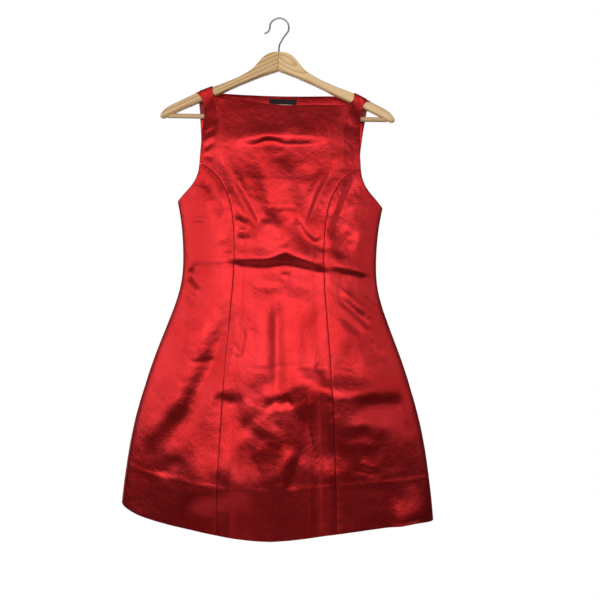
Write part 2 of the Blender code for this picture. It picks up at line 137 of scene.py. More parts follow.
def smoothTable(keys, values, soft):
    # a table as a function, rounded off over about soft millimetres
    low, high = keys[0], keys[-1]
    pad = 4 * soft
    at = np.arange(low - pad, high + pad + 0.5, 0.5)
    flat = np.interp(at, keys, values)
    startSlope = (values[1] - values[0]) / (keys[1] - keys[0])
    endSlope = (values[-1] - values[-2]) / (keys[-1] - keys[-2])
    flat = np.where(at < low, values[0] + (at - low) * startSlope, flat)
    flat = np.where(at > high, values[-1] + (at - high) * endSlope, flat)
    reach = np.arange(-3 * soft, 3 * soft + 0.25, 0.5)
    weight = np.exp(-0.5 * (reach / soft) ** 2)
    eased = np.convolve(flat, weight / weight.sum(), "same")
    return lambda x: np.interp(x, at, eased)


def ease(low, high, at):
    t = np.clip((np.asarray(at, float) - low) / (high - low), 0, 1)
    return t * t * (3 - 2 * t)


def evenly(low, high, cell):
    # evenly spaced places from low up to, but not including, high
    count = max(int(round((high - low) / cell)), 1)
    return [low + (high - low) * k / count for k in range(count)]


def curveThrough(points, perSpan=6):
    # a smooth line through a few points, as closely spaced ones
    p = [np.array(q, float) for q in points]
    p = [2 * p[0] - p[1]] + p + [2 * p[-1] - p[-2]]
    line = []
    for a, b, c, d in zip(p, p[1:], p[2:], p[3:]):
        for k in range(perSpan):
            t = k / perSpan
            square, cube = t * t, t * t * t
            bend, twist = 2 * a - 5 * b + 4 * c - d, 3 * b - a - 3 * c + d
            line.append(0.5 * (2 * b + (c - a) * t + bend * square + twist * cube))
    line.append(p[-2])
    return np.array(line)


armholeHalf = {
    "front": smoothTable(outlines["armholeDrop"], outlines["armholeFront"], 3),
    "back": smoothTable(outlines["armholeDrop"], outlines["armholeBack"], 3),
}
sideHalf = smoothTable(outlines["sideDrop"], outlines["sideHalf"], 9)
seamHalfSharp = smoothTable(outlines["seamDrop"], outlines["seamHalf"], 2.5)
seamHalfSoft = smoothTable(outlines["seamDrop"], outlines["seamHalf"], 9)
dartHalf = smoothTable(outlines["dartDrop"], outlines["dartHalf"], 12)
depthOf = {face: smoothTable(depths["drop"], depths[face], 7) for face in ("front", "back")}
edgeOf = {face: smoothTable(edgeDepths["drop"], edgeDepths[face], 5) for face in ("front", "back")}
neckOf = {face: smoothTable(necks["x"], necks[face], 4) for face in ("front", "back")}
hemOf = {face: smoothTable([s * 300 for s in hems["share"]], hems[face], 16) for face in ("front", "back")}
armTop = smoothTable(hanger["topReach"], hanger["topDrop"], 3.0)
armLow = smoothTable(hanger["lowReach"], hanger["lowDrop"], 1.5)


def seamHalf(drop):
    w = ease(300, 340, drop)
    return seamHalfSharp(drop) * (1 - w) + seamHalfSoft(drop) * w


def outlineHalf(drop, face):
    return np.where(np.asarray(drop) < dress["pit"], armholeHalf[face](drop), sideHalf(drop))


def waves(x, drop, size, seed):
    # slow uneven waves of the cloth, from about -1 to 1
    slopes = np.random.RandomState(seed).uniform(-1, 1, (64, 64, 2))
    u, v = x / size, drop / size
    i, j = np.floor(u).astype(int), np.floor(v).astype(int)
    du, dv = u - i, v - j

    def corner(di, dj):
        slope = slopes[(i + di) % 64, (j + dj) % 64]
        return slope[..., 0] * (du - di) + slope[..., 1] * (dv - dj)

    su, sv = (t * t * t * (t * (t * 6 - 15) + 10) for t in (du, dv))
    upper = corner(0, 0) * (1 - su) + corner(1, 0) * su
    lower = corner(0, 1) * (1 - su) + corner(1, 1) * su
    return 1.5 * (upper * (1 - sv) + lower * sv)


def crease(wide, high, lean, path):
    # path is (x, drop) points; high is a ridge's height or, below 0, a trough's depth
    # lean makes one flank steeper
    return {"wide": wide, "high": high, "lean": lean, "path": path}


frontCreases = [
    # chest: the slack ridge under the neck, the sharp crease below its middle and the lip under that
    crease(14, 2.6, 0.45, [(-102, 234), (-68, 236), (-20, 229), (20, 228), (60, 228), (100, 229)]),
    crease(23, -3.4, -0.78, [
        (-82, 246), (-54, 249), (-40, 245), (-26, 239), (-10, 240), (6, 245), (30, 245), (58, 244),
        (92, 238),
    ]),
    crease(8, 0.6, -0.5, [(-40, 260), (-16, 258), (12, 258)]),
    crease(20, -2.6, 0, [(126, 178), (122, 225), (112, 272)]),
    # narrow drags from the straps down beside the cups
    crease(9, -4.0, -0.5, [(-116, 250), (-108, 272), (-89, 314), (-68, 349), (-50, 382), (-34, 420)]),
    crease(9, 1.8, 0, [(-92, 288), (-74, 322), (-54, 358), (-38, 396)]),
    crease(8, -2.2, -0.5, [(-142, 298), (-124, 330), (-112, 362), (-104, 384)]),
    crease(6, 1.4, 0, [(-134, 296), (-116, 330), (-102, 366)]),
    crease(8, -2.9, 0.5, [(102, 268), (95, 290), (74, 332), (60, 368), (47, 402)]),
    crease(8, 1.2, 0, [(84, 284), (64, 326), (50, 362)]),
    crease(10, -4.4, 0.4, [(142, 296), (130, 324), (118, 350), (106, 386), (93, 426)]),
    crease(6, 1.8, 0, [(124, 306), (111, 338), (99, 374)]),
    # short gathers beside the left seam
    crease(7, -1.8, -0.5, [(-82, 364), (-72, 376), (-54, 388)]),
    crease(5, 1.6, 0, [(-82, 384), (-72, 392), (-58, 396)]),
    crease(8, -2.2, -0.5, [(-80, 404), (-68, 408), (-52, 406)]),
    crease(4.5, 1.2, 0, [(-80, 420), (-66, 424), (-50, 420)]),
    # the middle of the bodice
    crease(12, -2.2, 0, [(-38, 258), (-30, 300), (-18, 350), (-14, 396)]),
    crease(11, 1.4, 0, [(-60, 286), (-50, 330), (-38, 380)]),
    crease(17, 2.4, 0, [(6, 262), (12, 312), (20, 370), (26, 412)]),
    crease(13, -1.4, 0, [(54, 270), (48, 320), (40, 366)]),
    crease(3.2, -0.7, 0, [(-42, 363), (-4, 364), (40, 362)]),
    crease(7, -1.0, -0.5, [(-40, 381), (-26, 385), (-10, 383)]),
    crease(20, 3.4, 0, [(-34, 384), (-8, 402), (10, 430)]),
    crease(12, -4.0, -0.5, [(28, 380), (44, 408), (60, 424), (80, 436)]),
    crease(8, -2.0, 0, [(70, 414), (80, 430), (84, 446)]),
    crease(14, -0.8, 0, [(-60, 436), (-36, 442), (0, 436)]),
    # the fold across the waist
    crease(13, 3.0, 0.62, [
        (-108, 465), (-84, 463), (-50, 461), (-20, 458), (2, 449), (14, 446), (36, 455), (84, 471),
        (104, 474),
    ]),
    crease(25, -6.8, -0.6, [
        (-104, 474), (-80, 474), (-50, 476), (-20, 476), (6, 471), (24, 472), (50, 477), (84, 483),
        (106, 484),
    ]),
    crease(4.5, 1.5, 0, [(2, 484), (12, 488), (22, 484)]),
    crease(10, 1.6, 0.5, [(88, 467), (130, 473), (180, 480)]),
    crease(16, -3.0, -0.55, [(90, 479), (140, 486), (186, 494)]),
    crease(7, 1.0, 0, [(-176, 466), (-130, 463), (-92, 466)]),
    crease(10, -2.0, -0.5, [(-190, 494), (-172, 488), (-152, 480)]),
    crease(13, -2.0, -0.5, [(-50, 506), (-22, 511), (10, 509)]),
    crease(12, -1.0, -0.5, [(18, 504), (44, 510), (66, 506)]),
    # middle of the skirt
    crease(11, -4.8, 0, [(-4, 520), (-2, 600), (-1, 676), (-4, 728)]),
    crease(16, 2.4, 0, [(-30, 540), (-30, 620), (-34, 700)]),
    crease(18, 2.2, 0, [(32, 540), (32, 620), (30, 690)]),
    crease(5.5, -2.0, 0, [(-62, 584), (-66, 615), (-70, 648)]),
    crease(7, -2.0, 0, [(-84, 610), (-78, 625), (-70, 640)]),
    crease(5, -0.9, 0, [(-60, 655), (-30, 660), (30, 652), (92, 655)]),
    crease(7, -1.8, 0, [(66, 648), (78, 656), (90, 650)]),
    crease(4, -0.8, 0, [(-173, 639), (-151, 651), (-102, 646)]),
    crease(4, -1.4, 0, [(104, 640), (122, 652), (150, 648)]),
    crease(7, -2.4, 0.3, [(-30, 738), (-14, 729), (-4, 720), (6, 725), (16, 718), (26, 723), (36, 714)]),
    crease(11, 2.0, 0, [(-34, 716), (0, 702), (30, 698)]),
    crease(15, 4.0, 0, [(30, 800), (12, 842), (-4, 884)]),
    crease(12, -2.0, 0, [(48, 790), (32, 840), (24, 885)]),
    crease(18, 2.4, 0, [(-48, 752), (-20, 772), (8, 770)]),
    # left side of the skirt: a long slanting trough, and the bulge below it
    crease(21, -10.0, 0, [(-80, 536), (-98, 592), (-120, 650), (-146, 708), (-178, 770), (-214, 838)]),
    crease(30, 2.4, -0.1, [(-186, 596), (-154, 606), (-122, 604)]),
    crease(52, 13.5, 0.3, [(-184, 888), (-130, 884), (-84, 874), (-30, 850)]),
    crease(18, 3.0, 0, [(-252, 812), (-206, 752), (-172, 700)]),
    crease(21, -4.6, -0.4, [(-126, 716), (-92, 722), (-56, 724)]),
    crease(20, 3.0, 0, [(-110, 870), (-84, 812), (-60, 770)]),
    crease(14, -2.6, 0, [(-215, 870), (-200, 845), (-170, 830)]),
    crease(14, -2.4, 0, [(-70, 760), (-40, 775), (-20, 800)]),
    crease(7, -2.0, 0, [(-177, 483), (-160, 496), (-140, 519)]),
    crease(6, 1.6, 0, [(-180, 505), (-165, 514), (-150, 530)]),
    crease(8, -1.4, 0, [(-182, 520), (-164, 532), (-146, 552)]),
    # right side of the skirt: it turns under along an uneven line
    crease(60, 9.0, -0.55, [(8, 716), (34, 694), (58, 684), (84, 698), (140, 702), (200, 690)]),
    crease(15, 2.0, 0.2, [(22, 704), (50, 690), (80, 694), (112, 704), (160, 699), (236, 694)]),
    crease(24, -4.2, -0.2, [(132, 716), (193, 726), (252, 716)]),
    crease(30, -6.0, 0, [(44, 716), (76, 780), (104, 850)]),
    crease(14, 2.4, 0, [(120, 770), (160, 752), (214, 772)]),
    crease(9, 1.2, 0, [(110, 800), (150, 790), (190, 800)]),
    crease(7, -2.4, 0, [(104, 521), (140, 552), (177, 583)]),
    crease(7, 1.8, 0, [(112, 510), (150, 540), (186, 566)]),
    crease(9, -2.0, 0, [(104, 546), (150, 590), (204, 640)]),
    crease(6, -1.8, 0, [(158, 458), (170, 492), (183, 527)]),
    crease(6, -2.0, 0, [(150, 506), (170, 524), (192, 538)]),
    crease(20, -2.6, 0, [(120, 640), (160, 620), (196, 650)]),
    crease(7, 1.8, 0, [(151, 823), (162, 830), (178, 840)]),
    crease(6, -1.8, 0, [(140, 838), (165, 842), (190, 850)]),
    crease(22, 8.5, 0.5, [(206, 940), (250, 930), (294, 914)]),
    # side fronts above the waist
    crease(15, -4.0, 0, [(136, 400), (116, 428), (98, 452)]),
    crease(13, 2.4, 0, [(168, 385), (152, 410), (132, 440)]),
    crease(10, 1.4, 0, [(-150, 316), (-134, 360), (-124, 410)]),
    crease(4, -1.2, 0, [(-168, 386), (-148, 389), (-132, 386)]),
    crease(4, -1.0, 0, [(94, 372), (104, 374), (120, 372)]),
    crease(10, -1.6, 0, [(-106, 410), (-96, 430), (-94, 455)]),
    # small pulls at the straps and the armholes
    crease(4, -1.2, 0, [(-143, 232), (-134, 224), (-124, 217)]),
    crease(4, 1.0, 0, [(-143, 243), (-132, 236), (-122, 230)]),
    crease(4, -1.3, 0, [(-143, 258), (-134, 250), (-122, 244)]),
    crease(4, -1.2, 0, [(-143, 272), (-134, 270), (-124, 276)]),
    crease(7, -1.4, 0, [(-136, 172), (-128, 194), (-118, 206)]),
    crease(7, 1.4, 0, [(-126, 160), (-100, 172), (-70, 178)]),
    crease(8, -1.4, 0, [(112, 168), (120, 190), (124, 214)]),
    crease(12, 0.9, 0, [(16, 180), (24, 205), (26, 222)]),
]

backCreases = [
    crease(12, 2.0, 0, [(-120, 175), (-60, 190), (0, 194), (60, 190), (120, 172)]),
    crease(10, -2.2, 0, [(-100, 200), (-40, 214), (40, 214), (100, 198)]),
    crease(13, -2.8, 0, [(-134, 215), (-112, 262), (-96, 320)]),
    crease(13, -2.4, 0, [(134, 220), (110, 270), (94, 318)]),
    crease(22, 2.8, 0, [(-70, 240), (-60, 300), (-58, 350)]),
    crease(22, 3.0, 0, [(66, 232), (60, 290), (56, 346)]),
    crease(22, -3.4, 0, [(-8, 250), (2, 330), (-4, 420)]),
    crease(9, 3.4, 0.3, [(-172, 452), (-110, 444), (-30, 449), (50, 440), (120, 447), (172, 446)]),
    crease(7, -4.4, 0, [(-170, 466), (-110, 460), (-30, 464), (50, 457), (120, 462), (170, 460)]),
    crease(9, -2.0, 0, [(-150, 430), (-90, 420), (-20, 428)]),
    crease(8, -2.2, 0, [(30, 478), (90, 484), (160, 478)]),
    crease(10, -2.2, 0, [(-176, 486), (-140, 510), (-110, 545)]),
    crease(10, -2.4, 0, [(176, 482), (140, 512), (112, 556)]),
    crease(24, -4.0, 0, [(-20, 530), (-34, 640), (-60, 780), (-66, 900)]),
    crease(26, -3.6, 0, [(40, 560), (66, 700), (92, 900)]),
    crease(24, 2.6, 0, [(8, 560), (10, 700), (4, 900)]),
    crease(26, 3.2, 0, [(-130, 600), (-165, 720), (-190, 880)]),
    crease(18, -2.8, 0, [(-190, 640), (-220, 740), (-238, 860)]),
    crease(26, 2.8, 0, [(150, 620), (180, 740), (200, 880)]),
    crease(18, -2.6, 0, [(200, 660), (228, 760), (240, 870)]),
    crease(5, -0.9, 0, [(-160, 650), (-80, 660), (0, 654), (90, 660), (170, 648)]),
    crease(8, -1.6, 0, [(-30, 812), (10, 800), (60, 808)]),
    crease(10, -2.2, 0, [(100, 745), (130, 738), (165, 748)]),
]


def creaseHeight(creases, x, drop):
    # what the creases add to the depth, for arrays of places on the front view
    total = np.zeros_like(x)
    for fold in creases:
        line = curveThrough(fold["path"])
        wide, high, lean = fold["wide"], fold["high"], fold["lean"]
        reach = 2.6 * wide
        near = (x > line[:, 0].min() - reach) & (x < line[:, 0].max() + reach)
        near &= (drop > line[:, 1].min() - reach) & (drop < line[:, 1].max() + reach)
        if not near.any():
            continue
        px, pd = x[near], drop[near]
        steps = np.diff(line, axis=0)
        lengths = np.hypot(steps[:, 0], steps[:, 1])
        along = np.concatenate([[0], np.cumsum(lengths)])
        best = np.full(px.shape, 1e9)
        side = np.zeros_like(px)
        place = np.zeros_like(px)
        for k, (sx, sd) in enumerate(steps):
            ax, ad = px - line[k, 0], pd - line[k, 1]
            t = np.clip((ax * sx + ad * sd) / lengths[k] ** 2, 0, 1)
            away = np.hypot(ax - t * sx, ad - t * sd)
            closer = away < best
            best = np.where(closer, away, best)
            side = np.where(closer, np.sign(sx * ad - sd * ax), side)
            place = np.where(closer, (along[k] + t * lengths[k]) / along[-1], place)
        local = wide * (1 - lean * side)
        ends = ease(-0.02, 0.3, place) * ease(-0.02, 0.3, 1 - place)
        total[near] += high * np.exp(-((best / local) ** 2)) * ends
    return total


def hang(x, y, drop):
    # places of the cloth in metres, as it sits on the hanger and leans with it
    atTop, below = dress["shiftAtShoulders"], dress["shiftBelow"]
    shift = atTop + (below - atTop) * ease(150, 260, drop)
    across = x + shift
    down = drop + x * math.tan(dress["tilt"])
    cosine, sine = math.cos(hanger["lean"]), math.sin(hanger["lean"])
    sideways = across * cosine - np.minimum(down, 150) * sine
    return np.stack([sideways * mm, y * mm, -(down * cosine + across * sine) * mm], -1)


def shoulderTop(x):
    reach = np.abs(x + dress["shiftAtShoulders"])
    return armTop(reach) - dress["offWood"] - x * math.tan(dress["tilt"])


def clothDepth(x, drop, face):
    # distance of the cloth from the hanger's plane
    half = outlineHalf(drop, face)
    share = np.clip(np.abs(x) / half, 0, 1)
    middle = depthOf[face](drop)
    # above the pits the cloth goes on upwards as the same tube, cut away by the armholes
    tube = np.where(drop > dress["pit"], half, np.maximum(half, dress["tubeHalf"]))
    edge = edgeOf[face](drop)
    upper = edge + (middle - edge) * (1 - share ** dress["roundness"])
    lower = middle * np.sqrt(np.maximum(1 - np.clip(np.abs(x) / tube, 0, 1) ** dress["roundness"], 0))
    joined = ease(205, 285, drop)
    body = upper * (1 - joined) + lower * joined
    sewn = ease(300, dress["pit"], drop)
    fading = ease(-0.25, 0.1, 1 - share) * (1 - sewn) + ease(0, 0.14, 1 - share) * sewn
    seed = 30 if face == "front" else 90
    calm = 0.35 + 0.65 * ease(0, 40, np.abs(drop - 900))
    uneven = 1.4 * waves(x, drop, 62, seed) + 0.26 * waves(x, drop, 12, seed + 8)
    uneven += 0.75 * waves(x, drop * 0.8, 27, seed + 5) * (0.5 + 0.5 * ease(340, 420, drop))
    uneven = uneven * calm + creaseHeight(frontCreases if face == "front" else backCreases, x, drop)
    body = body + uneven * fading * ease(165, 215, drop)
    top = shoulderTop(x)
    inStrap = ease(dress["shoulderIn"] - 14, dress["shoulderIn"], np.abs(x))
    onArm = inStrap * (1 - ease(top + 14, top + 50, drop))
    lying = hanger["thick"] / 2 + dress["offWood"]
    return body + (lying - body) * onArm


def hemShape(level, share, face):
    # rows of the skirt bend to follow the hem
    start = dress["bendBelow"]
    bent = start + (level - start) * (hemOf[face](share * 300) - start) / (dress["hemLevel"] - start)
    return np.where(level > start, bent, level)


def pucker(along, seed):
    # uneven gathering along a seam
    swell = 0.5 + 0.5 * np.sin(along / 43 + seed * 2)
    return np.sin(along / 2.9 + 2.2 * np.sin(along / 17 + seed)) * swell + 0.6 * np.sin(along / 5.3 + seed)


def hemLine(level):
    # the edge of the turn-up shows through as a faint step
    past = dress["hemLevel"] - level - dress["turnUp"]
    return 0.35 * np.exp(-((past / 3.5) ** 2)) - 0.3 * np.exp(-(((past - 7) / 5.0) ** 2))


def levelRows(first):
    # levels of the rows from the chest down to the hem's fold, with three where the armholes end
    levels = evenly(first, 480, 3.4) + evenly(480, 860, 4.2) + evenly(860, 954.4, 3.4) + [954.6]
    return [v for v in levels if v < 353] + [353.4, 354.2, 355.5] + [v for v in levels if v > 357]


def hemRows():
    # (level, how far in) of the rows that roll round the fold and go up inside
    rows = [(dress["hemLevel"] - up, inward) for up, inward in hemRoll]
    return rows + [(dress["hemLevel"] - up, 2.6) for up in evenly(6, dress["turnUp"], 5.5)]


def rimColumns(blend):
    # (away, inward) for an edge's eight columns; blend is the weight of each kind of edge
    return sum(np.array(edgeRolls[kind]) * weight for kind, weight in blend.items()).T


def gridMesh(name, places, flats, gone):
    # a grid of cloth from an array of places, rows by columns, with its flat sizes as a UV map
    rows, columns = places.shape[:2]
    shape = bmesh.new()
    bmesh.ops.create_grid(shape, x_segments=columns - 1, y_segments=rows - 1, size=0.5)
    flat = shape.loops.layers.uv.new("cloth")
    order = {}
    for vertex in shape.verts:
        order[vertex] = (round((0.5 - vertex.co.y) * (rows - 1)), round((vertex.co.x + 0.5) * (columns - 1)))
    cutAway = []
    for face in shape.faces:
        corners = [order[v] for v in face.verts]
        for loop in face.loops:
            loop[flat].uv = flats[order[loop.vert]]
        if (min(i for i, _ in corners), min(j for _, j in corners)) in gone:
            cutAway.append(face)
    for vertex, place in order.items():
        vertex.co = places[place]
    bmesh.ops.delete(shape, geom=cutAway, context="FACES")
    mesh = bpy.data.meshes.new(name)
    shape.to_mesh(mesh)
    shape.free()
    return mesh


def clothPiece(name, x, y, drop, finish, gone=()):
    # a panel with its thickness and rounded raw edges; x, y and drop are arrays, rows by columns
    places = hang(x, y, drop)
    step = np.linalg.norm(np.diff(places, axis=1), axis=2)
    down = np.linalg.norm(np.diff(places, axis=0), axis=2)
    middle = x.shape[1] // 2
    across = np.concatenate([np.zeros((len(x), 1)), np.cumsum(np.maximum(step, 1e-5), 1)], 1)
    across -= across[:, middle : middle + 1] - x[:, middle : middle + 1] * mm
    along = np.concatenate([np.zeros((1, x.shape[1])), np.cumsum(np.maximum(down, 1e-5), 0)], 0)
    flats = np.stack([across, -along], -1)
    piece = bpy.data.objects.new(name, gridMesh(name, places, flats, set(gone)))
    bpy.context.scene.collection.objects.link(piece)
    for side in finish:
        piece.data.materials.append(side)
    wall = piece.modifiers.new("wall", "SOLIDIFY")
    wall.thickness = dress["thick"] * mm
    wall.offset = -0.4
    # the inner faces take the second material: the satin's matt wrong side, darkened as painted shade
    wall.material_offset = 1
    edge = piece.modifiers.new("edge", "BEVEL")
    edge.width = 0.4 * mm
    edge.segments = 2
    edge.limit_method = "ANGLE"
    edge.angle_limit = math.radians(60)
    for polygon in piece.data.polygons:
        polygon.use_smooth = True
    return piece


armBend = [0, 0, 0, 30, 60]  # turn of each row over the arm, from the shoulder seam outwards


def overArm(row, lift):
    # (depth, how far below the arm's top) of the rows that bend over the arm
    flat = hanger["thick"] / 2 - hanger["rounding"]
    radius = hanger["rounding"] + dress["offWood"]
    angle = math.radians(armBend[row])
    out = flat * min(row / 2, 1)
    return out + (radius + lift) * math.sin(angle), radius - (radius + lift) * math.cos(angle)


def strapShares():
    # column shares from -1 to 1 without the eight at each edge, with one on the strap's inner edge
    inner = dress["shoulderIn"] / dress["shoulderOut"]
    cell = dress["cell"] / 155
    right = [inner, inner + 0.012] + evenly(inner + 0.03, 0.955, cell) + [0.955]
    middle = evenly(-inner + 0.006, inner - 0.006, cell) + [inner - 0.006]
    return np.array([-r for r in reversed(right)] + middle + right)


def fullPanel(name, face, finish, edgeBelow, halfBelow, shapeRow, extraDepth):
    # a panel that goes over both shoulders; edgeBelow and halfBelow say what its edge is below the armhole
    shares = strapShares()
    rim = np.ones(edgeColumns)
    across = np.concatenate([-rim, shares, rim])
    sign = np.sign(across)
    inRim = range(edgeColumns)
    strap = np.abs(across) >= dress["shoulderIn"] / dress["shoulderOut"] - 1e-4
    lift = dress["strapLift"] * (1 - ease(0.8, 1.02, np.abs(across)))
    atShoulder = dress["shoulderOut"] * across
    top = np.where(strap, shoulderTop(atShoulder), neckOf[face](atShoulder))
    xs, drops, ins, overs = [], [], [], []

    def addRow(x, drop, inward, over=None):
        xs.append(x)
        drops.append(drop)
        ins.append(inward)
        overs.append(np.full_like(x, np.nan) if over is None else over)

    def withRims(x, inward, half, blends):
        # puts the edge columns at their distances from the edge
        for k, j in [(k, k) for k in inRim] + [(k, len(x) - 1 - k) for k in inRim]:
            away, turned = rimColumns(blends(j))[:, k]
            x[j] = sign[j] * (half[j] - away)
            inward[j] = turned
        return x, inward

    wood = lambda j: {"onWood": 1.0}
    for row in range(len(armBend)):
        out = np.array([overArm(row, rise) for rise in lift])
        down, inward = neckRoll[row]
        drop = np.where(strap, top + out[:, 1], top + down)
        edge = np.full_like(top, dress["shoulderOut"])
        x, turned = withRims(atShoulder.copy(), np.where(strap, 0, inward), edge, wood)
        addRow(x, drop, turned, np.where(strap, out[:, 0], np.nan))
    levelFrom = dress["levelFrom"]
    for k in range(dress["shoulderRows"]):
        start = top + np.where(strap, hanger["rounding"] + dress["offWood"], 0)
        drop = start + (levelFrom - start) * k / dress["shoulderRows"]
        settled = ease(0, 1, (drop - top) / (levelFrom - top))
        inset = np.minimum((1 - np.abs(across)) / (1 - dress["shoulderIn"] / dress["shoulderOut"]), 1)
        half = outlineHalf(drop, face)
        x = across * (half + (dress["shoulderOut"] - half) * (1 - settled) * inset)
        folded = ease(176, 190, drop)
        kinds = lambda j: {"onWood": 1 - folded[j], "armhole": folded[j]}
        x, turned = withRims(x, np.zeros_like(x), half, kinds)
        addRow(x, drop, turned)
    cells = {(i, j) for i in range(len(armBend)) for j in range(len(across) - 1) if strap[j] != strap[j + 1]}

    for level, inward in [(v, 0.0) for v in levelRows(levelFrom)] + hemRows():
        half = float(halfBelow(level))
        x = across / dress["outerShare"] * (half - dress["edgeBand"])
        blend = edgeBelow(level)
        x, turned = withRims(x, np.zeros_like(x), np.full_like(x, half), lambda j: blend)
        x = shapeRow(x, level, half)
        share = x / float(outlineHalf(level, face))
        addRow(x, hemShape(np.full_like(x, level), share, face), turned + inward)
    x, drop, inward, over = (np.array(v) for v in (xs, drops, ins, overs))
    aboveLevel = [0] * (len(armBend) + dress["shoulderRows"])
    level = np.array(aboveLevel + levelRows(levelFrom) + [v for v, _ in hemRows()])[:, None]
    depth = clothDepth(x, drop, face) + extraDepth(x, drop, level)
    for rimColumn in list(range(4)) + list(range(len(across) - 4, len(across))):
        base = 4 if rimColumn < 4 else len(across) - 5
        depth[:, rimColumn] = depth[:, base]
    depth = np.maximum(depth - np.minimum(inward, depth * 0.9), 0)
    side = 1 if face == "back" else -1
    y = side * (np.where(np.isnan(over), depth, over) + dress["sideGap"] / 2)
    if face == "back":
        x, y, drop = x[:, ::-1], y[:, ::-1], drop[:, ::-1]
        cells = {(i, len(across) - 2 - j) for i, j in cells}
    return clothPiece(name, x, y, drop, finish, cells)


def centreFront(finish):
    def edgeBelow(level):
        sewn = float(ease(281, 288, level))
        return {"armhole": 1 - sewn, "seam": sewn}

    def halfBelow(level):
        if level < dress["seamStart"]:
            return outlineHalf(level, "front")
        return seamHalf(level) - dress["seamGap"] / 2

    def extraDepth(x, drop, level):
        beside = np.maximum(seamHalf(level) - np.abs(x), 0)
        gathered = 0.28 * pucker(drop + 40 * np.sign(x), 1.3) * np.exp(-beside / 7) * ease(300, 340, level)
        return gathered + hemLine(level)

    asCut = lambda x, level, half: x
    return fullPanel("centre_front", "front", finish, edgeBelow, halfBelow, asCut, extraDepth)


def wholeBack(finish):
    def edgeBelow(level):
        sewn = float(ease(348, 356, level))
        return {"armhole": 1 - sewn, "side": sewn}

    def shapeRow(x, level, half):
        # columns gather along the darts, and near the side seams
        if level > dress["pit"]:
            share = x / half
            x = half * (share + (np.sin(share * math.pi / 2) - share) * float(ease(354, 400, level)) * 0.8)
        dart = float(dartHalf(min(max(level, 292), 610)))
        present = float(ease(285, 310, level) * (1 - ease(600, 640, level)))
        off = np.abs(x) - dart
        pull = np.sign(off) * np.minimum(np.abs(off), 9) * (1 - np.minimum(np.abs(off) / 9, 1)) * -0.62
        return x + np.sign(x) * pull * present

    def extraDepth(x, drop, level):
        off = np.abs(np.abs(x) - dartHalf(np.clip(drop, 292, 610)))
        sewn = ease(285, 320, drop) * (1 - ease(570, 615, drop))
        groove = -1.1 * np.exp(-off / 1.3) - 1.6 * np.exp(-((off / 9) ** 2))
        gathered = 0.3 * pucker(drop + 30 * np.sign(x), 4.1) * np.exp(-off / 6)
        return (groove + gathered) * sewn + hemLine(level) * ease(0, 8, outlineHalf(drop, "back") - np.abs(x))

    halfBelow = lambda level: outlineHalf(level, "back")
    return fullPanel("whole_back", "back", finish, edgeBelow, halfBelow, shapeRow, extraDepth)


def sideFront(name, side, finish):
    turns = np.array(evenly(0.03, 0.97, 0.024) + [0.97])
    xs, drops, ins, levels = [], [], [], []
    firstLevels = [283.4, 284.3, 285.2, 286.2, 287.6, 289.4, 291.6, 294.2, 297.4]
    rows = [(v, 0.0) for v in firstLevels + levelRows(301)] + hemRows()
    for level, inward in rows:
        half = float(outlineHalf(level, "front"))
        seam = min(float(seamHalf(level)) + dress["seamGap"] / 2, half - 1.2)
        fit = min(1, (half - seam) * 0.4 / 3.4)
        sewn = float(ease(348, 356, level))
        inner, innerIn = rimColumns({"seam": 1.0})
        outer, outerIn = rimColumns({"armhole": 1 - sewn, "side": sewn})
        low, high = (seam + 3.4 * fit) / half, (half - 3.4 * fit) / half
        start, stop = math.asin(min(low, 1)), math.asin(min(high, 1))
        turned = half * np.sin(start + (stop - start) * turns)
        outerX = half - np.minimum(outer * fit, (half - seam) * 0.45)
        xs.append(side * np.concatenate([seam + inner * fit, turned, outerX[::-1]]))
        innerIn = innerIn * float(ease(284, 289, level))
        ins.append(np.concatenate([innerIn, np.zeros(len(turns)), outerIn[::-1] * fit]) + inward)
        drops.append(hemShape(np.full_like(xs[-1], level), xs[-1] / half, "front"))
        levels.append(level)
    x, drop, inward = np.array(xs), np.array(drops), np.array(ins)
    level = np.array(levels)[:, None]
    beside = np.abs(x) - seamHalf(level)
    depth = clothDepth(x, drop, "front")
    depth += 0.28 * pucker(drop + 40 * side, 2.6) * np.exp(-beside / 7) * ease(300, 340, level)
    depth += hemLine(level) * ease(0, 12, outlineHalf(level, "front") - np.abs(x))
    depth[:, :4] = depth[:, 4:5]
    depth[:, -4:] = depth[:, -5:-4]
    depth = np.maximum(depth - np.minimum(inward, depth * 0.9), 0)
    y = -(depth + dress["sideGap"] / 2)
    if side < 0:
        x, y, drop = x[:, ::-1], y[:, ::-1], drop[:, ::-1]
    return clothPiece(name, x, y, drop, finish)


def node(tree, kind, **settings):
    made = tree.nodes.new(kind)
    for key, value in settings.items():
        if key in made.bl_rna.properties:
            setattr(made, key, value)
        else:
            made.inputs[key.replace("_", " ")].default_value = value
    return made


def newMaterial(name):
    material = bpy.data.materials.new(name)
    material.use_nodes = True
    return material, material.node_tree, material.node_tree.nodes["Principled BSDF"]


def newGroup(name, inputs, outputs):
    group = bpy.data.node_groups.new(name, "ShaderNodeTree")
    for label, kind, value in inputs:
        socket = group.interface.new_socket(label, in_out="INPUT", socket_type="NodeSocket" + kind)
        if value is not None:
            socket.default_value = value
    for label, kind in outputs:
        group.interface.new_socket(label, in_out="OUTPUT", socket_type="NodeSocket" + kind)
    return group, group.nodes.new("NodeGroupInput"), group.nodes.new("NodeGroupOutput")


def useGroup(tree, group, **values):
    made = tree.nodes.new("ShaderNodeGroup")
    made.node_tree = group
    for key, value in values.items():
        made.inputs[key].default_value = value
    return made


def shadeBy(tree, mask, low, high, target):
    # a colour from low to high by a mask
    mixed = node(tree, "ShaderNodeMix", data_type="RGBA")
    mixed.inputs[6].default_value = low
    mixed.inputs[7].default_value = high
    tree.links.new(mask, mixed.inputs[0])
    tree.links.new(mixed.outputs[2], target)


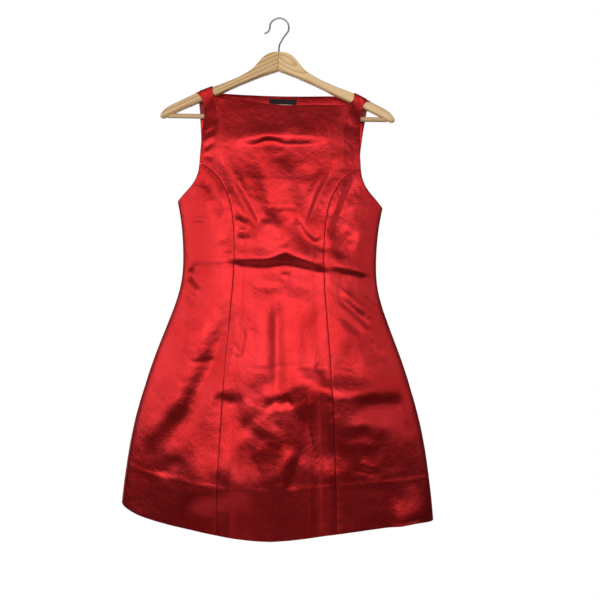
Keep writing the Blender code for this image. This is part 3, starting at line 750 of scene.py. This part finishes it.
def roughBy(tree, mask, low, high, shader):
    # a roughness from low to high by a mask
    ranged = node(tree, "ShaderNodeMapRange")
    ranged.inputs["To Min"].default_value = low
    ranged.inputs["To Max"].default_value = high
    tree.links.new(mask, ranged.inputs["Value"])
    tree.links.new(ranged.outputs[0], shader.inputs["Roughness"])


def bumpChain(tree, shader, heights):
    # bump nodes one after another: (height socket, strength, distance in metres)
    before = None
    for height, strength, distance in heights:
        bump = node(tree, "ShaderNodeBump", Strength=strength, Distance=distance)
        tree.links.new(height, bump.inputs["Height"])
        if before:
            tree.links.new(before.outputs[0], bump.inputs["Normal"])
        before = bump
    tree.links.new(before.outputs[0], shader.inputs["Normal"])


def threadGroup():
    # woven threads: Threads is the relief of the weave, Slubs the long uneven yarns, Mottle slow cloudiness
    group, given, result = newGroup(
        "wovenThreads",
        [("Flat", "Vector", None), ("Yarns", "Float", 2200.0), ("Cloud", "Float", 14.0)],
        [("Threads", "Float"), ("Slubs", "Float"), ("Mottle", "Float")],
    )
    links = group.links
    heights = []
    for turn in (0, math.pi / 2):
        turned = node(group, "ShaderNodeMapping", Rotation=(0, 0, turn))
        wave = node(group, "ShaderNodeTexWave", wave_type="BANDS", bands_direction="X")
        wave.inputs["Distortion"].default_value = 0.6
        wave.inputs["Detail"].default_value = 1.0
        links.new(given.outputs["Flat"], turned.inputs["Vector"])
        links.new(turned.outputs[0], wave.inputs["Vector"])
        links.new(given.outputs["Yarns"], wave.inputs["Scale"])
        heights.append(wave.outputs["Fac"])
    woven = node(group, "ShaderNodeMath", operation="ADD")
    links.new(heights[0], woven.inputs[0])
    links.new(heights[1], woven.inputs[1])
    links.new(woven.outputs[0], result.inputs["Threads"])
    stretched = node(group, "ShaderNodeMapping", Scale=(60, 620, 1))
    slubs = node(group, "ShaderNodeTexNoise", Scale=1.0, Detail=3.0, Roughness=0.6)
    links.new(given.outputs["Flat"], stretched.inputs["Vector"])
    links.new(stretched.outputs[0], slubs.inputs["Vector"])
    links.new(slubs.outputs[0], result.inputs["Slubs"])
    cloud = node(group, "ShaderNodeTexNoise", Detail=4.0, Roughness=0.55)
    links.new(given.outputs["Flat"], cloud.inputs["Vector"])
    links.new(given.outputs["Cloud"], cloud.inputs["Scale"])
    links.new(cloud.outputs[0], result.inputs["Mottle"])
    return group


threads = threadGroup()

satinLook = {
    "deep": (0.38, 0.004, 0.002, 1),
    "bright": (0.59, 0.030, 0.037, 1),
    # the wrong side's colour, darker than the dye alone as painted shade for the inside of the dress
    "reverseAndPaintedShade": (0.24, 0.007, 0.009, 1),
    "roughest": 0.43,
    "smoothest": 0.35,
    "metallic": 0.9,
    "anisotropic": 0.55,
}


def satinMaterial():
    material, tree, shader = newMaterial("redSatin")
    links = tree.links
    flat = node(tree, "ShaderNodeUVMap", uv_map="cloth")
    weave = useGroup(tree, threads, Yarns=1500.0, Cloud=11.0)
    links.new(flat.outputs[0], weave.inputs["Flat"])
    look = satinLook
    shadeBy(tree, weave.outputs["Mottle"], look["deep"], look["bright"], shader.inputs["Base Color"])
    roughBy(tree, weave.outputs["Slubs"], look["smoothest"], look["roughest"], shader)
    crumple = node(tree, "ShaderNodeTexNoise", Scale=58.0, Detail=5.0, Roughness=0.62)
    links.new(flat.outputs[0], crumple.inputs["Vector"])
    nap = node(tree, "ShaderNodeTexNoise", Scale=330.0, Detail=3.0, Roughness=0.6)
    links.new(flat.outputs[0], nap.inputs["Vector"])
    bumpChain(tree, shader, [
        (crumple.outputs[0], 0.75, 0.0013),
        (nap.outputs[0], 0.7, 0.00028),
        (weave.outputs["Slubs"], 0.25, 0.00015),
        (weave.outputs["Threads"], 0.1, 0.00005),
    ])
    run = node(tree, "ShaderNodeTangent", direction_type="UV_MAP", uv_map="cloth")
    links.new(run.outputs[0], shader.inputs["Tangent"])
    shader.inputs["Metallic"].default_value = look["metallic"]
    shader.inputs["Anisotropic"].default_value = look["anisotropic"]
    return material


def reverseAndPaintedShadeMaterial():
    # the matt wrong side of the satin, its colour also darkened as painted shade for the inside of the dress
    material, tree, shader = newMaterial("satinReverseAndPaintedShade")
    links = tree.links
    flat = node(tree, "ShaderNodeUVMap", uv_map="cloth")
    weave = useGroup(tree, threads, Yarns=1500.0, Cloud=18.0)
    links.new(flat.outputs[0], weave.inputs["Flat"])
    # painted shade: the inside colour is kept dark, and the mottle only varies it at random
    paler = [part * 1.5 for part in satinLook["reverseAndPaintedShade"][:3]] + [1]
    shadeBy(tree, weave.outputs["Mottle"], satinLook["reverseAndPaintedShade"], paler, shader.inputs["Base Color"])
    bumpChain(tree, shader, [(weave.outputs["Slubs"], 0.3, 0.0002), (weave.outputs["Threads"], 0.3, 0.00008)])
    shader.inputs["Roughness"].default_value = 0.62
    return material


print("cloth")
satin = satinMaterial()
reverseAndPaintedShade = reverseAndPaintedShadeMaterial()
cloth = [satin, reverseAndPaintedShade]
shoulders = ["arm_left", "arm_right"]
panels = [
    # panel, CAD node, its cut as it shows (width, length and area) and what it hangs from
    (centreFront(cloth), "front_centre", 0.329, 0.848, 0.174, shoulders),
    (sideFront("side_front_left", -1, cloth), "front_side_left", 0.202, 0.684, 0.0975, ["centre_front"]),
    (sideFront("side_front_right", 1, cloth), "front_side_right", 0.201, 0.672, 0.0968, ["centre_front"]),
    (wholeBack(cloth), "back", 0.604, 0.829, 0.356, shoulders),
]
for piece, cadNode, *_ in panels:
    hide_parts(cadNode)
    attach(piece, "root")


def finished(name, shape, material, smooth=30):
    # a bmesh as a finished piece, with its sharp edges kept sharp
    bmesh.ops.recalc_face_normals(shape, faces=shape.faces)
    mesh = bpy.data.meshes.new(name)
    shape.to_mesh(mesh)
    shape.free()
    mesh.materials.append(material)
    for polygon in mesh.polygons:
        polygon.use_smooth = True
    mesh.set_sharp_from_angle(angle=math.radians(smooth))
    piece = bpy.data.objects.new(name, mesh)
    bpy.context.scene.collection.objects.link(piece)
    return piece


arm = {
    "stations": 110,
    "topCorner": 2.6,
    "underCorner": 4.6,
    "barDiameter": 9.0,
    "barDrop": 187.5,
    "barHalf": 208.0,
}


def sectionRing(half, low, top, corners):
    # a rounded rectangle in (y, drop), as a closed ring of 40 places; corners are the lower and upper radii
    ring = []
    for sy, sd, first in ((1, 1, 0), (-1, 1, 90), (-1, -1, 180), (1, -1, 270)):
        radius = corners[0] if sd > 0 else corners[1]
        cy, cd = sy * (half - radius), (low - radius if sd > 0 else top + radius)
        for k in range(7):
            angle = math.radians(first + 15 * k)
            ring.append((cy + radius * math.cos(angle), cd + radius * math.sin(angle)))
        lower, upper = corners
        corner = ring[-1]
        ahead = {
            0: (lower - half, low),
            90: (-half, top + upper),
            180: (half - upper, top),
            270: (half, low - lower),
        }[first]
        ring += [tuple(a + (b - a) * k / 4 for a, b in zip(corner, ahead)) for k in (1, 2, 3)]
    return ring


def hangerArm(name, side, material):
    # one arm: rounded sections along its reach, from the mitre at the middle to the closed tip
    along = np.linspace(2.5, 219, arm["stations"])
    reach = np.concatenate([[0.15, 0.6], along, [220.5, 221.6, 222.3, 222.6]])
    ringSize = 40
    shape = bmesh.new()
    bmesh.ops.create_grid(shape, x_segments=ringSize, y_segments=len(reach) - 1, size=0.5)
    for vertex in shape.verts:
        i = round((0.5 - vertex.co.y) * (len(reach) - 1))
        j = round((vertex.co.x + 0.5) * ringSize) % ringSize
        out = reach[i]
        top, low = float(armTop(out)), float(armLow(out))
        half = hanger["thick"] / 2 * math.sqrt(max(1 - max(out - 206, 0) ** 2 / 17.6**2, 0.012))
        centre = (top + low) / 2
        height = max((low - top) / 2, 0.4)
        corners = [min(radius, half * 0.9, height * 0.9) for radius in (arm["underCorner"], arm["topCorner"])]
        depth, drop = sectionRing(half, centre + height, centre - height, corners)[j]
        if i < 2:
            shrink = 1 - 0.06 * (2 - i) / 2
            depth, drop = depth * shrink, centre + (drop - centre) * (1 - 0.025 * (2 - i) / 2)
        vertex.co = Vector((side * out, depth, -drop)) * mm
    bmesh.ops.remove_doubles(shape, verts=shape.verts, dist=1e-7)
    bmesh.ops.holes_fill(shape, edges=shape.edges, sides=0)
    bmesh.ops.rotate(shape, verts=shape.verts, cent=(0, 0, 0), matrix=Matrix.Rotation(hanger["lean"], 3, "Y"))
    return finished(name, shape, material, 55)


def tubeAlong(name, path, radius, material, around=20):
    # a round wire along a path of Vectors, with domed ends
    shape = bmesh.new()
    dome = [math.radians(90 - 22.5 * k) for k in range(4)]
    before = (path[0] - path[1]).normalized()
    beyond = (path[-1] - path[-2]).normalized()
    stops = [(path[0] + before * radius * math.sin(a), radius * math.cos(a) + 1e-6) for a in dome]
    stops += [(p, radius) for p in path]
    stops += [(path[-1] + beyond * radius * math.sin(a), radius * math.cos(a) + 1e-6) for a in reversed(dome)]
    bmesh.ops.create_grid(shape, x_segments=around, y_segments=len(stops) - 1, size=0.5)
    frames = []
    for k, (place, _) in enumerate(stops):
        ahead = (stops[min(k + 1, len(stops) - 1)][0] - stops[max(k - 1, 0)][0]).normalized()
        sideways = Vector((0, 1, 0))
        if abs(ahead.dot(sideways)) > 0.9:
            sideways = Vector((0, 0, 1))
        sideways = (sideways - ahead * ahead.dot(sideways)).normalized()
        frames.append((place, sideways, ahead.cross(sideways)))
    for vertex in shape.verts:
        i = round((0.5 - vertex.co.y) * (len(stops) - 1))
        turn = 2 * math.pi * (round((vertex.co.x + 0.5) * around) % around) / around
        place, across, up = frames[i]
        vertex.co = place + (across * math.cos(turn) + up * math.sin(turn)) * stops[i][1]
    bmesh.ops.remove_doubles(shape, verts=shape.verts, dist=1e-7)
    return finished(name, shape, material, 60)


def hangerBar(material):
    lean = Matrix.Rotation(hanger["lean"], 3, "Y")
    end = arm["barHalf"] - 2  # where the domed end begins
    path = [lean @ Vector((x, 0, -arm["barDrop"])) * mm for x in np.linspace(-end, end, 24)]
    return tubeAlong("trouser_bar", path, arm["barDiameter"] / 2 * mm, material, 28)


hook = {
    "wire": 3.2,
    "radius": 18.1,
    "shank": 16.0,
    "neck": [(0, -63.5), (0.3, -54), (2.2, -46.5), (6.6, -38.6), (11, -31.4)],
    "tip": [(-20.2, -23.2), (-23.4, -26.2), (-26.8, -27.6)],
}


def hookPath():
    bend = [math.radians(a) for a in range(-24, 187, 15)]
    points = [(0, -63.5 - hook["shank"])] + hook["neck"]
    points += [(hook["radius"] * math.cos(a), hook["radius"] * math.sin(a) - 16.5) for a in bend]
    line = curveThrough(points + hook["tip"], 5)
    lean = Matrix.Rotation(hanger["lean"], 3, "Y")
    return [lean @ Vector((x, 0, z)) * mm for x, z in line]


def woodGroup():
    # growth rings round an axis along X: Rings is the line pattern, Pores short dark flecks, Tone slow change
    group, given, result = newGroup(
        "woodFigure",
        [
            ("Place", "Vector", None),
            ("Rings", "Float", 260.0),
            ("Wander", "Float", 0.0022),
            ("Tilt", "Float", 0.0),
        ],
        [("Rings", "Float"), ("Pores", "Float"), ("Tone", "Float")],
    )
    links = group.links
    slow = node(group, "ShaderNodeMapping", Scale=(9, 42, 42))
    links.new(given.outputs["Place"], slow.inputs["Vector"])
    wander = node(group, "ShaderNodeTexNoise", Scale=1.0, Detail=2.0)
    links.new(slow.outputs[0], wander.inputs["Vector"])
    split = node(group, "ShaderNodeSeparateXYZ")
    links.new(given.outputs["Place"], split.inputs[0])
    near = node(group, "ShaderNodeMath", operation="MINIMUM")
    near.inputs[1].default_value = 0.052
    links.new(split.outputs[0], near.inputs[0])
    tilted = node(group, "ShaderNodeMath", operation="MULTIPLY_ADD")
    links.new(near.outputs[0], tilted.inputs[0])
    links.new(given.outputs["Tilt"], tilted.inputs[1])
    links.new(split.outputs[1], tilted.inputs[2])
    flatPlace = node(group, "ShaderNodeCombineXYZ")
    links.new(tilted.outputs[0], flatPlace.inputs[1])
    links.new(split.outputs[2], flatPlace.inputs[2])
    away = node(group, "ShaderNodeVectorMath", operation="LENGTH")
    links.new(flatPlace.outputs[0], away.inputs[0])
    drift = node(group, "ShaderNodeMath", operation="MULTIPLY_ADD")
    links.new(wander.outputs[0], drift.inputs[0])
    links.new(given.outputs["Wander"], drift.inputs[1])
    links.new(away.outputs["Value"], drift.inputs[2])
    count = node(group, "ShaderNodeMath", operation="MULTIPLY")
    links.new(drift.outputs[0], count.inputs[0])
    links.new(given.outputs["Rings"], count.inputs[1])
    part = node(group, "ShaderNodeMath", operation="FRACT")
    links.new(count.outputs[0], part.inputs[0])
    late = node(group, "ShaderNodeMath", operation="POWER")
    late.inputs[1].default_value = 3.5
    links.new(part.outputs[0], late.inputs[0])
    links.new(late.outputs[0], result.inputs["Rings"])
    fine = node(group, "ShaderNodeMapping", Scale=(50, 620, 620))
    links.new(given.outputs["Place"], fine.inputs["Vector"])
    pores = node(group, "ShaderNodeTexNoise", Scale=1.0, Detail=2.0)
    links.new(fine.outputs[0], pores.inputs["Vector"])
    links.new(pores.outputs[0], result.inputs["Pores"])
    tone = node(group, "ShaderNodeTexNoise", Scale=14.0, Detail=2.0)
    links.new(given.outputs["Place"], tone.inputs["Vector"])
    links.new(tone.outputs[0], result.inputs["Tone"])
    return group


woodFigure = woodGroup()

# slant turns the grain to run along the arm; pith is where the growth rings' axis lies, and tilt how much
# that axis leans near the middle
woodLook = {
    "leftArm": {
        "pale": (0.74, 0.47, 0.21, 1),
        "dark": (0.36, 0.18, 0.06, 1),
        "slant": 25,
        "pith": (0, 0.02, 0.03),
        "tilt": 0.02,
        "rings": 150.0,
    },
    "rightArm": {
        "pale": (0.84, 0.57, 0.28, 1),
        "dark": (0.50, 0.28, 0.11, 1),
        "slant": -30,
        "pith": (-0.015, 0.0075, 0.080),
        "tilt": -0.3,
        "rings": 135.0,
    },
    "bar": {
        "pale": (0.70, 0.46, 0.24, 1),
        "dark": (0.47, 0.27, 0.12, 1),
        "slant": 0,
        "pith": (0, 0.02, 0.2),
        "tilt": 0.0,
        "rings": 300.0,
    },
    "roughness": 0.46,
    "coat": 0.18,
}


def woodMaterial(part):
    look = woodLook[part]
    material, tree, shader = newMaterial(part + "Wood")
    links = tree.links
    place = node(tree, "ShaderNodeTexCoord")
    centred = node(tree, "ShaderNodeMapping", Location=look["pith"])
    along = node(tree, "ShaderNodeMapping", Rotation=(0, math.radians(look["slant"]), 0))
    figure = useGroup(tree, woodFigure, Rings=look["rings"], Tilt=look["tilt"])
    links.new(place.outputs["Object"], centred.inputs["Vector"])
    links.new(centred.outputs[0], along.inputs["Vector"])
    links.new(along.outputs[0], figure.inputs["Place"])
    mixed = node(tree, "ShaderNodeMath", operation="MULTIPLY_ADD")
    mixed.inputs[1].default_value = 0.3
    links.new(figure.outputs["Pores"], mixed.inputs[0])
    links.new(figure.outputs["Rings"], mixed.inputs[2])
    shadeBy(tree, mixed.outputs[0], look["pale"], look["dark"], shader.inputs["Base Color"])
    roughness = woodLook["roughness"]
    roughBy(tree, figure.outputs["Tone"], roughness - 0.08, roughness + 0.1, shader)
    bumpChain(tree, shader, [
        (figure.outputs["Rings"], 0.15, 0.0002),
        (figure.outputs["Pores"], 0.2, 0.00015),
    ])
    shader.inputs["Coat Weight"].default_value = woodLook["coat"]
    shader.inputs["Coat Roughness"].default_value = 0.3
    return material


def steelMaterial():
    material, tree, shader = newMaterial("hookSteel")
    place = node(tree, "ShaderNodeTexCoord")
    drawn = node(tree, "ShaderNodeMapping", Scale=(900, 900, 260))
    lines = node(tree, "ShaderNodeTexNoise", Scale=1.0, Detail=3.0)
    tree.links.new(place.outputs["Object"], drawn.inputs["Vector"])
    tree.links.new(drawn.outputs[0], lines.inputs["Vector"])
    roughBy(tree, lines.outputs[0], 0.2, 0.38, shader)
    shadeBy(tree, lines.outputs[0], (0.27, 0.27, 0.28, 1), (0.42, 0.42, 0.43, 1), shader.inputs["Base Color"])
    bumpChain(tree, shader, [(lines.outputs[0], 0.08, 0.00005)])
    shader.inputs["Metallic"].default_value = 1.0
    return material


print("hanger")
steel = steelMaterial()
wooden = [
    (hangerArm("arm_left", -1, woodMaterial("leftArm")), "hanger_arm_left", "pale_wood"),
    (hangerArm("arm_right", 1, woodMaterial("rightArm")), "hanger_arm_right", "pale_wood"),
    (hangerBar(woodMaterial("bar")), "hanger_bar", "pale_wood"),
    (tubeAlong("hook", hookPath(), hook["wire"] / 2 * mm, steel), "hanger_hook", "bright_steel"),
]
for piece, cadNode, slot in wooden:
    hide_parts(cadNode)
    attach(piece, "root")

label = {"wide": 52.0, "tall": 20.0, "top": 149.5, "thick": 0.6, "centre": -1.0}


def labelPiece(material):
    # a woven tape sewn flat inside the back, its ends turned under
    shape = bmesh.new()
    bmesh.ops.create_grid(shape, x_segments=52, y_segments=20, size=0.5)
    flat = shape.loops.layers.uv.new("cloth")
    for face in shape.faces:
        for loop in face.loops:
            loop[flat].uv = (loop.vert.co.x * label["wide"] * mm, loop.vert.co.y * label["tall"] * mm)
    at = np.array([(v.co.x, v.co.y) for v in shape.verts])
    x = label["centre"] + at[:, 0] * label["wide"]
    drop = label["top"] + (0.5 - at[:, 1]) * label["tall"]
    inward = 3.5 + 0.25 * np.cos(at[:, 0] * 14) * (0.5 - at[:, 1]) + 0.5 * ease(0.46, 0.5, np.abs(at[:, 0]))
    places = hang(x, clothDepth(x, drop, "back") - inward, drop)
    for vertex, place in zip(shape.verts, places):
        vertex.co = place
    mesh = bpy.data.meshes.new("woven_label")
    shape.to_mesh(mesh)
    shape.free()
    mesh.materials.append(material)
    piece = bpy.data.objects.new("woven_label", mesh)
    bpy.context.scene.collection.objects.link(piece)
    wall = piece.modifiers.new("wall", "SOLIDIFY")
    wall.thickness = label["thick"] * mm
    wall.offset = 0
    for polygon in mesh.polygons:
        polygon.use_smooth = True
    return piece


def labelMaterial():
    material, tree, shader = newMaterial("blackWovenTape")
    links = tree.links
    flat = node(tree, "ShaderNodeUVMap", uv_map="cloth")
    weave = useGroup(tree, threads, Yarns=3200.0, Cloud=60.0)
    links.new(flat.outputs[0], weave.inputs["Flat"])
    shade = node(tree, "ShaderNodeMix", data_type="RGBA")
    shade.inputs[6].default_value = (0.004, 0.004, 0.005, 1)
    shade.inputs[7].default_value = (0.022, 0.021, 0.024, 1)
    links.new(weave.outputs["Threads"], shade.inputs[0])
    # a plain row of pale woven dashes where such a label has its wording
    split = node(tree, "ShaderNodeSeparateXYZ")
    links.new(flat.outputs[0], split.inputs[0])
    dash = node(tree, "ShaderNodeMath", operation="PINGPONG")
    dash.inputs[1].default_value = 0.0016
    links.new(split.outputs[0], dash.inputs[0])
    masks = []
    limits = [
        (dash.outputs[0], 0.0006, 0.01),
        (split.outputs[0], -0.018, 0.018),
        (split.outputs[1], -0.0010, 0.0002),
    ]
    for socket, low, high in limits:
        for operation, limit in (("GREATER_THAN", low), ("LESS_THAN", high)):
            test = node(tree, "ShaderNodeMath", operation=operation)
            test.inputs[1].default_value = limit
            links.new(socket, test.inputs[0])
            masks.append(test.outputs[0])
    product = masks[0]
    for mask in masks[1:]:
        times = node(tree, "ShaderNodeMath", operation="MULTIPLY")
        links.new(product, times.inputs[0])
        links.new(mask, times.inputs[1])
        product = times.outputs[0]
    both = node(tree, "ShaderNodeMix", data_type="RGBA")
    both.inputs[7].default_value = (0.62, 0.60, 0.56, 1)
    links.new(product, both.inputs[0])
    links.new(shade.outputs[2], both.inputs[6])
    links.new(both.outputs[2], shader.inputs["Base Color"])
    bumpChain(tree, shader, [(weave.outputs["Threads"], 0.5, 0.0001)])
    shader.inputs["Roughness"].default_value = 0.85
    shader.inputs["Specular IOR Level"].default_value = 0.12
    return material


print("label")
tape = labelPiece(labelMaterial())
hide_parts("label")
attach(tape, "root")

studio = {
    "floorDrop": 1.62,
    "floorRadius": 0.85,
    "ambient": 0.035,
    "lights": [
        # name, place, aimed at, width, height, power
        ("frontSoftbox", (-0.15, -2.4, -0.28), (0, 0, -0.28), 2.7, 1.36, 34),
        ("upperSoftbox", (-0.3, -2.35, 0.42), (0, 0, 0.42), 2.4, 1.3, 9),
        ("overhead", (0, -0.5, 1.3), (0, 0, -0.5), 1.6, 0.8, 5),
        ("leftSoftbox", (-2.35, -0.85, -0.17), (0, 0, -0.17), 2.3, 1.56, 24),
        ("rightSoftbox", (2.35, -0.85, -0.17), (0, 0, -0.17), 2.3, 1.56, 11),
        ("backSoftbox", (0, 2.4, -0.2), (0, 0, -0.5), 2.4, 1.7, 34),
    ],
}

print("studio")
for name, place, aim, width, height, power in studio["lights"]:
    lamp = bpy.data.lights.new(name, "AREA")
    lamp.shape = "RECTANGLE"
    lamp.size, lamp.size_y, lamp.energy = width, height, power
    made = bpy.data.objects.new(name, lamp)
    made.location = place
    made.rotation_euler = (Vector(aim) - Vector(place)).to_track_quat("-Z", "Y").to_euler()
    bpy.context.scene.collection.objects.link(made)

floorShape = bmesh.new()
bmesh.ops.create_circle(floorShape, cap_ends=True, segments=96, radius=studio["floorRadius"])
bmesh.ops.translate(floorShape, verts=floorShape.verts, vec=(0, 0, -studio["floorDrop"]))
floorMaterial, floorTree, floorShader = newMaterial("paleFloor")
cloudy = node(floorTree, "ShaderNodeTexNoise", Scale=3.0)
pale = [(0.78, 0.78, 0.77, 1), (0.84, 0.84, 0.83, 1)]
shadeBy(floorTree, cloudy.outputs[0], *pale, floorShader.inputs["Base Color"])
floorShader.inputs["Roughness"].default_value = 0.8
finished("floor", floorShape, floorMaterial)

world = bpy.data.worlds.new("studio")
bpy.context.scene.world = world
world.use_nodes = True
tree = world.node_tree
tree.nodes.clear()
ambient = node(tree, "ShaderNodeBackground")
ambient.inputs["Color"].default_value = (1, 1, 1, 1)
ambient.inputs["Strength"].default_value = studio["ambient"]
seen = node(tree, "ShaderNodeBackground")
seen.inputs["Color"].default_value = (1, 1, 1, 1)
seen.inputs["Strength"].default_value = 1.0
path = node(tree, "ShaderNodeLightPath")
either = node(tree, "ShaderNodeMixShader")
out = node(tree, "ShaderNodeOutputWorld")
tree.links.new(path.outputs["Is Camera Ray"], either.inputs[0])
tree.links.new(ambient.outputs[0], either.inputs[1])
tree.links.new(seen.outputs[0], either.inputs[2])
tree.links.new(either.outputs[0], out.inputs[0])

lens = {"place": (0.0436, -1.25, -0.533), "mm": 39.5, "roll": math.radians(0.5)}
camera = bpy.data.cameras.new("camera")
camera.lens = lens["mm"]
camera.sensor_width = 36
view = bpy.data.objects.new("camera", camera)
upright = Matrix.Rotation(math.pi / 2, 4, "X")
view.matrix_world = Matrix.Translation(lens["place"]) @ upright @ Matrix.Rotation(lens["roll"], 4, "Z")
bpy.context.scene.collection.objects.link(view)
bpy.context.scene.camera = view
bpy.context.scene.view_settings.view_transform = "Standard"
